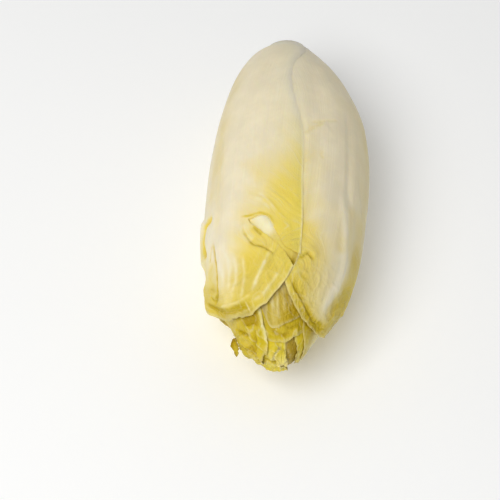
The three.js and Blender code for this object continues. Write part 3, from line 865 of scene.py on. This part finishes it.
def leaf_relief(leaf, angle, along, across, inset, phase, points, yellow):
    """How far the blade stands out from its smooth place, in mm."""
    onward = (along - leaf.base) / (leaf.end - leaf.base)
    flutes = np.stack([across / 7, along / 70, np.full(across.shape, leaf.rib)], -1)
    height = 0.4 * noise.fractal(flutes, octaves=2) * smoothstep(onward, 0.2, 0.55) * (1 - 0.6 * yellow)
    height *= smoothstep(inset, 0, 8)
    begins, full, amount, size = leaf.crumple
    crumpled = smoothstep(along, begins, full) * (0.35 + 0.65 * yellow)
    facets = 1 - 1.7 * noise.puffs(points / size, octaves=3, gain=0.5)
    height += amount * crumpled * np.maximum(facets, -0.4)
    veined = np.stack([phase * 1.7, across / 16, np.full(across.shape, leaf.rib)], -1)
    height += 0.16 * noise.fractal(veined, octaves=2) * yellow * smoothstep(onward, 0.4, 0.6)
    near_margin = 1 - smoothstep(inset, 0, 7)
    run = np.stack([angle / 14, along / 9, np.full(across.shape, leaf.rib * 0.31)], -1)
    height += leaf.waves * near_margin * noise.fractal(run, octaves=2) * smoothstep(onward, 0.3, 0.9)
    height += 0.15 * (1 - smoothstep(inset, 0, 1.5)) * smoothstep(along, 70, 120)
    for stroke in STROKES.get(leaf.name, []):
        height += stroke.relief(angle, along)
    return height


def leaf_tint(leaf, angle, along, across, inset, phase, points):
    """The leaf's yellow, dark yellow (partly painted shade), brown and pale (partly painted highlight),
    each 0 to 1.
    """
    turned = leaf.rib + wrapped(angle - leaf.rib)
    scale = np.radians(head_radius(along))
    beyond = np.maximum(leaf.cream_left(along) - turned, turned - leaf.cream_right(along)) * scale
    beyond = beyond + 4.5 * noise.fractal(points / 14, octaves=3)
    beyond = beyond + 3 * noise(np.stack([phase * 0.9, across / 30, np.full(across.shape, leaf.rib)], -1))
    onset = smoothstep(along, 48, 104)
    yellow = smoothstep(beyond, -12, 14) * (0.1 + 0.9 * onset)
    # Dark yellow towards the tip: partly the leaf's own colour, partly painted shade.
    deep_from, deep_to, deep_amount = leaf.deep
    deep = yellow * smoothstep(along + 6 * noise(points / 11), deep_from, deep_to) * deep_amount
    tips = smoothstep(along - leaf.end + 2.5 * noise.fractal(points / 3, octaves=3), -2.4, 0.2)
    brown = tips * (1 - smoothstep(inset, 0.2, 1.4)) * smoothstep(leaf.ragged, 0.3, 0.8)
    specks = noise(points / 0.9) * noise(points / 16)
    brown = np.maximum(brown, smoothstep(specks, 0.5, 0.7) * 0.5)
    # Painted highlight: a pale line where the margin catches the light.
    margin_highlight = (1 - smoothstep(inset, 0.1, 1.1)) * smoothstep(along, 55, 75)
    pale = margin_highlight * (0.5 - 0.25 * smoothstep(along, 118, 140))
    # Painted highlights along the ridges of the crumpled tip.
    begins, full, amount, size = leaf.crumple
    ridge = 1 - smoothstep(np.abs(noise(points / size)), 0.0, 0.09)
    pale = np.maximum(pale, 0.5 * ridge * yellow * smoothstep(along, begins, full) * min(amount, 0.6))
    tint = np.stack([yellow, deep, brown, pale], -1)
    for stroke in STROKES.get(leaf.name, []):
        uneven = noise(points / (1.2 + stroke.tint_width))
        added = stroke.colour(angle, along) * (0.9 + 0.6 * uneven)[:, None]
        tint[:, 0] += added[:, 0]
        tint[:, 1] += added[:, 1]
        tint[:, 3] += added[:, 2]
    return np.clip(tint, 0, 1)


def free_edges(quads):
    """Directed edges that only one quad uses."""
    edges = np.concatenate([quads[:, [k, (k + 1) % 4]] for k in range(4)])
    size = quads.max() + 1
    forward, backward = edges[:, 0] * size + edges[:, 1], edges[:, 1] * size + edges[:, 0]
    return edges[~np.isin(forward, backward)]


def mesh_object(name, points, quads, attributes):
    """A smooth-shaded mesh from points in mm and quads, with per-point attributes."""
    mesh = bpy.data.meshes.new(name)
    mesh.vertices.add(len(points))
    mesh.vertices.foreach_set("co", (points * MM).astype(np.float32).ravel())
    mesh.loops.add(quads.size)
    mesh.loops.foreach_set("vertex_index", quads.astype(np.int32).ravel())
    mesh.polygons.add(len(quads))
    mesh.polygons.foreach_set("loop_start", np.arange(0, quads.size, 4, dtype=np.int32))
    mesh.polygons.foreach_set("use_smooth", np.ones(len(quads), bool))
    for key, values in attributes.items():
        kind, slot = ("FLOAT_COLOR", "color") if values.shape[1] == 4 else ("FLOAT_VECTOR", "vector")
        attribute = mesh.attributes.new(key, kind, "POINT")
        attribute.data.foreach_set(slot, values.astype(np.float32).ravel())
    mesh.update(calc_edges=True)
    mesh.validate()
    mesh.set_sharp_from_angle(angle=SHARP_ANGLE)
    piece = bpy.data.objects.new(name, mesh)
    bpy.context.scene.collection.objects.link(piece)
    return piece


def solid_sheet(name, outer, inner, quads, tint, pattern):
    """A closed sheet between two faces of points, with a rim along every free edge."""
    count = len(outer)
    rim = free_edges(quads)
    rim_quads = np.stack([rim[:, 1], rim[:, 0], rim[:, 0] + count, rim[:, 1] + count], -1)
    faces = np.concatenate([quads, quads[:, ::-1] + count, rim_quads])
    attributes = {"tint": np.tile(tint, (2, 1)), "pattern": np.tile(pattern, (2, 1))}
    return mesh_object(name, np.concatenate([outer, inner]), faces, attributes)


def leaf_piece(leaf, seed):
    places, quads = leaf_sheet(leaf, seed)
    used, quads = np.unique(quads, return_inverse=True)
    quads = quads.reshape(-1, 4)
    angle, along = places[used].T
    inset = np.maximum(margin_distance(leaf, angle, along), 0)
    across = np.radians(wrapped(angle - leaf.rib)) * head_radius(along)
    smooth_points = points_on_head(angle, along, 0)
    noise_points = smooth_points + leaf.rib
    phase = vein_phase(across, along, inset, noise_points)
    tint = leaf_tint(leaf, angle, along, across, inset, phase, noise_points)
    height = leaf_relief(leaf, angle, along, across, inset, phase, noise_points, tint[:, 0])
    exposed = np.clip(read_field(leaf.exposed, angle, along), 0, 1)
    depth = read_field(leaf.depth, angle, along) - height * exposed
    depth = depth - shared_height(angle, along, smooth_points)
    depth = np.maximum(depth, -PROUDEST)
    thick = leaf_thickness(leaf, angle, along, inset)
    outer, inner = (points_on_head(angle, along, below) for below in (depth, depth + thick))
    for face in (outer, inner):
        face[:, 2] = np.maximum(face[:, 2], FLOOR_CLEARANCE)
    pattern = np.stack([across, along, phase], -1)
    return solid_sheet(leaf.name + "_blade", outer, inner, quads, tint, pattern)


# ------------------------------------------------------------------------- core and bud

CUT_AT = 0.35
CORE_END = 40.0
CUT_RINGS = 16
CORE_ROWS, CORE_SIDES = 60, 160
# The core stays this far inside the innermost leaf, and from 22 mm along it is no wider than this.
CORE_CLEARANCE = 0.12
CORE_RADIUS = 6.0
BUD_ROWS, BUD_SIDES = 60, 40


def ring_quads(rows, sides):
    """Quads between rows of a closed round surface."""
    row = np.arange(rows - 1)[:, None] * sides
    here, there = np.arange(sides), (np.arange(sides) + 1) % sides
    return np.stack([row + here, row + sides + here, row + sides + there, row + there], -1).reshape(-1, 4)


def round_grid(rows, sides, start=0):
    """Each row's value with each angle round the axis, from a starting angle."""
    angles = np.arange(sides) * 360 / sides + start
    return (a.ravel() for a in np.meshgrid(rows, angles, indexing="ij"))


def points_round_axis(angle, along, radius):
    return points_on_head(angle, along, envelope_radius(angle, along) - radius)


def core_piece(all_depth):
    """The solid core: it fills the head under the leaf bases, with the cut face at its end."""
    rows = np.concatenate([np.linspace(0, 1, CUT_RINGS), 1 + np.linspace(0, 1, CORE_ROWS)[1:]])
    t, angle = round_grid(rows, CORE_SIDES, start=-180)
    face = t <= 1
    along = CUT_AT + np.maximum(t - 1, 0) * CORE_END
    wall = envelope_radius(angle, along) - read_field(all_depth, angle, along) - CORE_CLEARANCE
    slim = CORE_RADIUS * np.sqrt(np.clip(1 - (along - CUT_AT) / CORE_END, 0, 1))
    wall = np.minimum(wall, slim + 30 * (1 - smoothstep(along, 12, 22)))
    radius = np.where(face, t * wall, wall)
    points = points_round_axis(angle, along, radius)
    points[:, 1] += face * (0.12 * noise.fractal(points / 2.2, octaves=3) - 0.25 * smoothstep(t, 0.86, 1.0))
    rim = smoothstep(t, 0.45, 0.95)
    brown = face * (0.18 + 0.3 * rim + 0.25 * noise.fractal(points / 3, octaves=3))
    brown = np.maximum(brown, (1 - smoothstep(along, 0.3, 2.5)) * 0.35)
    tint = np.stack([0.1 * face, 0 * brown, np.clip(brown, 0, 1), 0.3 * face], -1)
    pattern = np.stack([np.radians(angle) * radius, along, t * 9], -1)
    quads = ring_quads(len(rows), CORE_SIDES)
    return mesh_object("core_stem", points, quads, {"tint": tint, "pattern": pattern})


BUD_PROFILE = [(43, 0.05), (46, 3.6), (55, 7), (70, 8.6), (88, 8.2), (108, 6), (121, 2.6), (124, 0.05)]


def bud_piece():
    """The closed heart: a slim bud with the folded edges of its smallest leaves."""
    bud_radius = smooth_through(BUD_PROFILE)
    along, angle = round_grid(np.linspace(BUD_PROFILE[0][0], BUD_PROFILE[-1][0], BUD_ROWS), BUD_SIDES)
    spiral = np.sin(np.radians(3 * angle) + along / 9)
    radius = bud_radius(along) * (1 - 0.08 * (1 - spiral) * smoothstep(along, 46, 60))
    points = points_round_axis(angle, along, radius)
    yellow = smoothstep(along, 60, 110)
    tint = np.stack([yellow, 0.2 * yellow, 0 * yellow, 0 * yellow], -1)
    pattern = np.stack([np.radians(angle) * radius, along, along / 4], -1)
    quads = ring_quads(BUD_ROWS, BUD_SIDES)
    return mesh_object("heart_bud_folds", points, quads, {"tint": tint, "pattern": pattern})


# A dried sliver of an old leaf hangs at the left of the tip: (angle, along, height) places.
SLIVER_PATH = [
    (-122, 138, -4.4), (-118, 140, -5.2), (-110, 142, -4.6), (-103, 143.4, -3.2), (-98, 145.3, -1.8),
    (-95, 147.2, -0.5), (-96, 148.6, 0.4), (-101, 149.5, 1.2), (-108, 150, 2.1),
]
SLIVER_HALF_WIDTH = [(0, 0.7), (0.3, 0.6), (0.5, 0.9), (0.68, 1.5), (0.84, 1.2), (1, 0.1)]
SLIVER_THICKNESS = 0.25
SLIVER_ROWS, SLIVER_COLUMNS = 48, 9


def sliver_piece():
    grid = np.meshgrid(np.linspace(0, 1, SLIVER_ROWS), np.linspace(-1, 1, SLIVER_COLUMNS), indexing="ij")
    v, u = (a.ravel() for a in grid)
    angle, along, height = spline(SLIVER_PATH, v).T
    middle = points_on_head(angle, along, -height)
    rough = noise.fractal(np.stack([9 * v, u, 0 * v], -1), octaves=3)
    half = smooth_through(SLIVER_HALF_WIDTH)(v) * (1 + 0.5 * rough)
    curl = 0.5 * u * u * half + 0.35 * rough
    top = middle + np.stack([u * half, -0.5 * curl, curl], -1)
    quads = grid_quads(SLIVER_ROWS, SLIVER_COLUMNS)
    brown = np.clip(0.5 * np.abs(u) + 0.6 * rough, 0, 0.6)
    tint = np.stack([0.9 + 0 * v, 0.9 + 0 * v, brown, 0 * v], -1)
    pattern = np.stack([u * half, along, 6 * v], -1)
    return solid_sheet("dried_sliver", top, top - (0, 0, SLIVER_THICKNESS), quads, tint, pattern)


# ------------------------------------------------------------------------------ materials

def srgb(red, green, blue):
    """Linear colour of an 8-bit one."""
    channels = (c / 255 for c in (red, green, blue))
    return tuple(c / 12.92 if c <= 0.04045 else ((c + 0.055) / 1.055) ** 2.4 for c in channels) + (1.0,)


class Graph:
    """Short ways to add and link a material's nodes."""

    def __init__(self, name):
        self.material = bpy.data.materials.new(name)
        self.material.use_nodes = True
        self.tree = self.material.node_tree
        self.shader = self.tree.nodes["Principled BSDF"]

    def node(self, kind, inputs=None, **settings):
        node = self.tree.nodes.new(kind)
        for key, value in settings.items():
            setattr(node, key, value)
        for key, value in (inputs or {}).items():
            self.put(node.inputs[key], value)
        return node

    def put(self, socket, value):
        if isinstance(value, bpy.types.NodeSocket):
            self.tree.links.new(value, socket)
        else:
            socket.default_value = value

    def math(self, operation, *values):
        return self.node("ShaderNodeMath", dict(enumerate(values)), operation=operation).outputs[0]

    def add(self, *values):
        total = values[0]
        for value in values[1:]:
            total = self.math("ADD", total, value)
        return total

    def times(self, a, b):
        return self.math("MULTIPLY", a, b)

    def ramp(self, value, low, high, to_low=0.0, to_high=1.0, kind="SMOOTHSTEP"):
        inputs = {"Value": value, "From Min": low, "From Max": high, "To Min": to_low, "To Max": to_high}
        return self.node("ShaderNodeMapRange", inputs, interpolation_type=kind).outputs["Result"]

    def mix(self, factor, a, b):
        node = self.node("ShaderNodeMix", data_type="RGBA")
        self.put(node.inputs[0], factor)
        self.put(node.inputs[6], a)
        self.put(node.inputs[7], b)
        return node.outputs[2]

    def noise(self, vector, scale, detail=3.0, roughness=0.5):
        inputs = {"Vector": vector, "Scale": scale, "Detail": detail, "Roughness": roughness}
        return self.node("ShaderNodeTexNoise", inputs).outputs["Fac"]

    def scaled(self, vector, factors):
        node = self.node("ShaderNodeVectorMath", operation="MULTIPLY")
        self.put(node.inputs[0], vector)
        self.put(node.inputs[1], factors)
        return node.outputs[0]


# Pale for veins and ribs, and for the painted highlights on margins, folds and crinkles.
PALE_AND_HIGHLIGHT = (250, 242, 206)
DRIED_BROWN = (122, 98, 30)
# Waxy flesh that lets a little light through.
LEAF_SHADER = {
    "Specular IOR Level": 0.22, "Subsurface Weight": 0.25, "Subsurface Radius": (1.0, 0.75, 0.3),
    "Subsurface Scale": 0.0016,
}


def leaf_material(name, cream, yellow, deep, roughness):
    """Waxy blade: cream rib, yellow blade with pale veins, and fine fibres along it. Dark yellow paints the
    shade in creases and under other leaves, and pale paints highlights as well as veins.
    The tint attribute says where; pattern is (across, along, vein phase), in mm and in veins."""
    g = Graph(name)
    tint = g.node("ShaderNodeAttribute", attribute_name="tint")
    parts = g.node("ShaderNodeSeparateColor", {"Color": tint.outputs["Color"]})
    is_yellow, is_deep, is_brown = (parts.outputs[k] for k in range(3))
    is_pale_and_highlight = tint.outputs["Alpha"]
    pattern = g.node("ShaderNodeAttribute", attribute_name="pattern").outputs["Vector"]
    split = g.node("ShaderNodeSeparateXYZ", {"Vector": pattern})
    place = g.scaled(pattern, (1.0, 1.0, 0.0))
    fibres = g.noise(g.scaled(pattern, (1.6, 0.05, 0.0)), 1.0, detail=4.0, roughness=0.6)
    blotches = g.noise(place, 0.09, detail=4.0, roughness=0.6)
    grain = g.noise(place, 2.6, detail=3.0)
    folds = g.noise(place, 0.35, detail=2.0)

    # Veins: streaks that follow the vein phase, each fading in and out along its way.
    along_veins = g.scaled(pattern, (0.06, 0.0, 2.6))
    vein = g.ramp(g.noise(along_veins, 1.0, detail=4.0, roughness=0.62), 0.53, 0.74)
    fine = g.noise(g.scaled(pattern, (0.12, 0.02, 7.5)), 1.0, detail=2.0)
    main_veins = g.times(vein, g.ramp(folds, 0.38, 0.6))
    fine_veins = g.times(g.ramp(fine, 0.56, 0.72), 0.55)
    veins = g.times(g.math("MAXIMUM", main_veins, fine_veins), is_yellow)

    shade = g.add(g.times(g.ramp(blotches, 0.3, 0.7, kind="LINEAR"), 0.5), g.times(fibres, 0.5))
    pale_cream = g.mix(g.ramp(shade, 0.3, 0.75), srgb(*cream), srgb(*(min(255, c + 7) for c in cream)))
    uneven_yellow = g.times(is_yellow, g.add(0.8, g.times(blotches, 0.4)))
    patchy = g.math("SUBTRACT", uneven_yellow, g.times(veins, 0.45))
    colour = g.mix(g.node("ShaderNodeClamp", {"Value": patchy}).outputs[0], pale_cream, srgb(*yellow))
    deeper = g.times(is_deep, g.ramp(grain, 0.2, 0.8, 0.8, 1.15, kind="LINEAR"))
    colour = g.mix(g.times(deeper, g.math("SUBTRACT", 1.0, g.times(veins, 0.85))), colour, srgb(*deep))
    colour = g.mix(is_pale_and_highlight, colour, srgb(*PALE_AND_HIGHLIGHT))
    browned = g.times(is_brown, g.ramp(grain, 0.25, 0.6, 0.55, 1.0))
    colour = g.mix(browned, colour, srgb(*DRIED_BROWN))
    g.put(g.shader.inputs["Base Color"], colour)

    # Crinkles and veins that catch the light.
    crinkle = g.noise(g.scaled(pattern, (0.5, 0.3, 0.0)), 1.0, detail=5.0, roughness=0.6)
    crinkles = g.times(g.math("ABSOLUTE", g.math("SUBTRACT", crinkle, 0.5)), is_deep)
    height = g.add(
        g.times(fibres, 0.08), g.times(grain, 0.02), g.times(veins, 0.1), g.times(crinkles, -1.4),
        g.times(g.times(folds, is_yellow), 0.1),
    )
    bump = g.node("ShaderNodeBump", {"Height": height, "Strength": 1.0, "Distance": MM})
    g.put(g.shader.inputs["Normal"], bump.outputs["Normal"])
    uneven = g.ramp(fibres, 0.3, 0.7, roughness - 0.06, roughness + 0.08, "LINEAR")
    g.put(g.shader.inputs["Roughness"], uneven)
    for socket, value in LEAF_SHADER.items():
        g.put(g.shader.inputs[socket], value)
    return g.material


# Each: cream, yellow, a dark yellow that also paints shade, and roughness.
MATERIALS = {
    "outer_leaf": leaf_material("endive_outer", (239, 228, 197), (242, 217, 97), (194, 168, 4), 0.42),
    "middle_leaf": leaf_material("endive_middle", (236, 224, 168), (222, 198, 40), (186, 156, 0), 0.32),
    "inner_leaf": leaf_material("endive_inner", (238, 228, 168), (228, 204, 44), (180, 152, 0), 0.32),
    "heart_leaf": leaf_material("endive_heart", (240, 232, 190), (226, 202, 80), (168, 140, 18), 0.4),
    "core": leaf_material("endive_core", (234, 226, 202), (226, 210, 150), (190, 168, 110), 0.55),
}


# ------------------------------------------------------------------------- making it all

def add_piece(piece, slot, node=None):
    piece.data.materials.append(MATERIALS[slot])
    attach(piece, "root")
    if node:
        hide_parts(node)


def make_head():
    all_depth = stack_leaves()
    for slot, leaves in LAYERS.items():
        for leaf in leaves:
            add_piece(leaf_piece(leaf, ALL_LEAVES.index(leaf)), slot, leaf.name)
    add_piece(core_piece(all_depth), "core", "core")
    add_piece(bud_piece(), "heart_leaf", "heart_bud")
    add_piece(sliver_piece(), "outer_leaf")


# ----------------------------------------------------------------- floor, light and camera

CAMERA_AZIMUTH = 1.5
CAMERA_ELEVATION = 56.0
CAMERA_DISTANCE = 700.0
SENSOR = 36.0
FOCAL_LENGTH = 123.5
# How far the camera looks past the head's middle: to its left, and below it.
LOOKS_LEFT, LOOKS_BELOW = 14.0, 21.5

# Sizes and distances of the floor and the lights are in metres, and powers in watts.
FLOOR_HALF = 4.0
WORLD_STRENGTH = 0.37
LIGHTS = {
    "key": {
        "azimuth": -37, "elevation": 57, "distance": 1.3, "size": 0.8, "power": 11.0,
        "colour": (1.0, 0.985, 0.96),
    },
    "fill": {
        "azimuth": 60, "elevation": 35, "distance": 1.6, "size": 1.2, "power": 0.1,
        "colour": (1.0, 0.98, 0.96),
    },
}


def view_axes(azimuth, elevation):
    a, e = math.radians(azimuth), math.radians(elevation)
    back = Vector((math.sin(a) * math.cos(e), -math.cos(a) * math.cos(e), math.sin(e)))
    right = Vector((math.cos(a), math.sin(a), 0))
    return right, back.cross(right), back


def make_camera():
    """Looks down on the head from its tip, with the head a little up and right of the middle."""
    right, up, back = view_axes(CAMERA_AZIMUTH, CAMERA_ELEVATION)
    middle = Vector((AXIS_X, (cad_low.y + cad_high.y) / 2 / MM, AXIS_Z))
    place = middle - right * LOOKS_LEFT - up * LOOKS_BELOW + back * CAMERA_DISTANCE
    data = bpy.data.cameras.new("camera")
    data.sensor_width = SENSOR
    data.lens = FOCAL_LENGTH
    data.clip_end = 20
    camera = bpy.data.objects.new("camera", data)
    turn = Matrix((right, up, back)).transposed().to_4x4()
    camera.matrix_world = Matrix.Translation(place * MM) @ turn
    bpy.context.scene.collection.objects.link(camera)
    bpy.context.scene.camera = camera


def area_light(name, azimuth, elevation, distance, size, power, colour):
    """A soft square light that faces the head."""
    _, _, back = view_axes(azimuth, elevation)
    data = bpy.data.lights.new(name, "AREA")
    data.shape = "SQUARE"
    data.size = size
    data.energy = power
    data.color = colour
    light = bpy.data.objects.new(name, data)
    light.location = back * distance
    light.rotation_euler = back.to_track_quat("Z", "Y").to_euler()
    bpy.context.scene.collection.objects.link(light)


def make_stage():
    mesh = bpy.data.meshes.new("floor")
    corners = [(x * FLOOR_HALF, y * FLOOR_HALF, 0) for x, y in ((-1, -1), (1, -1), (1, 1), (-1, 1))]
    mesh.from_pydata(corners, [], [(0, 1, 2, 3)])
    floor = bpy.data.objects.new("floor", mesh)
    g = Graph("pale_floor")
    spots = g.noise(g.node("ShaderNodeTexCoord").outputs["Object"], 3.0)
    g.put(g.shader.inputs["Base Color"], g.mix(spots, (0.91, 0.925, 0.94, 1), (0.94, 0.955, 0.97, 1)))
    g.shader.inputs["Roughness"].default_value = 0.7
    g.shader.inputs["Emission Color"].default_value = (1, 1, 0.99, 1)
    g.shader.inputs["Emission Strength"].default_value = 0.1
    floor.data.materials.append(g.material)
    bpy.context.scene.collection.objects.link(floor)

    world = bpy.data.worlds.new("studio")
    world.use_nodes = True
    background = world.node_tree.nodes["Background"]
    background.inputs["Color"].default_value = (1.0, 0.99, 0.975, 1)
    background.inputs["Strength"].default_value = WORLD_STRENGTH
    bpy.context.scene.world = world
    for name, settings in LIGHTS.items():
        area_light(name, **settings)
    bpy.context.scene.view_settings.view_transform = "Standard"


make_camera()
make_stage()
make_head()
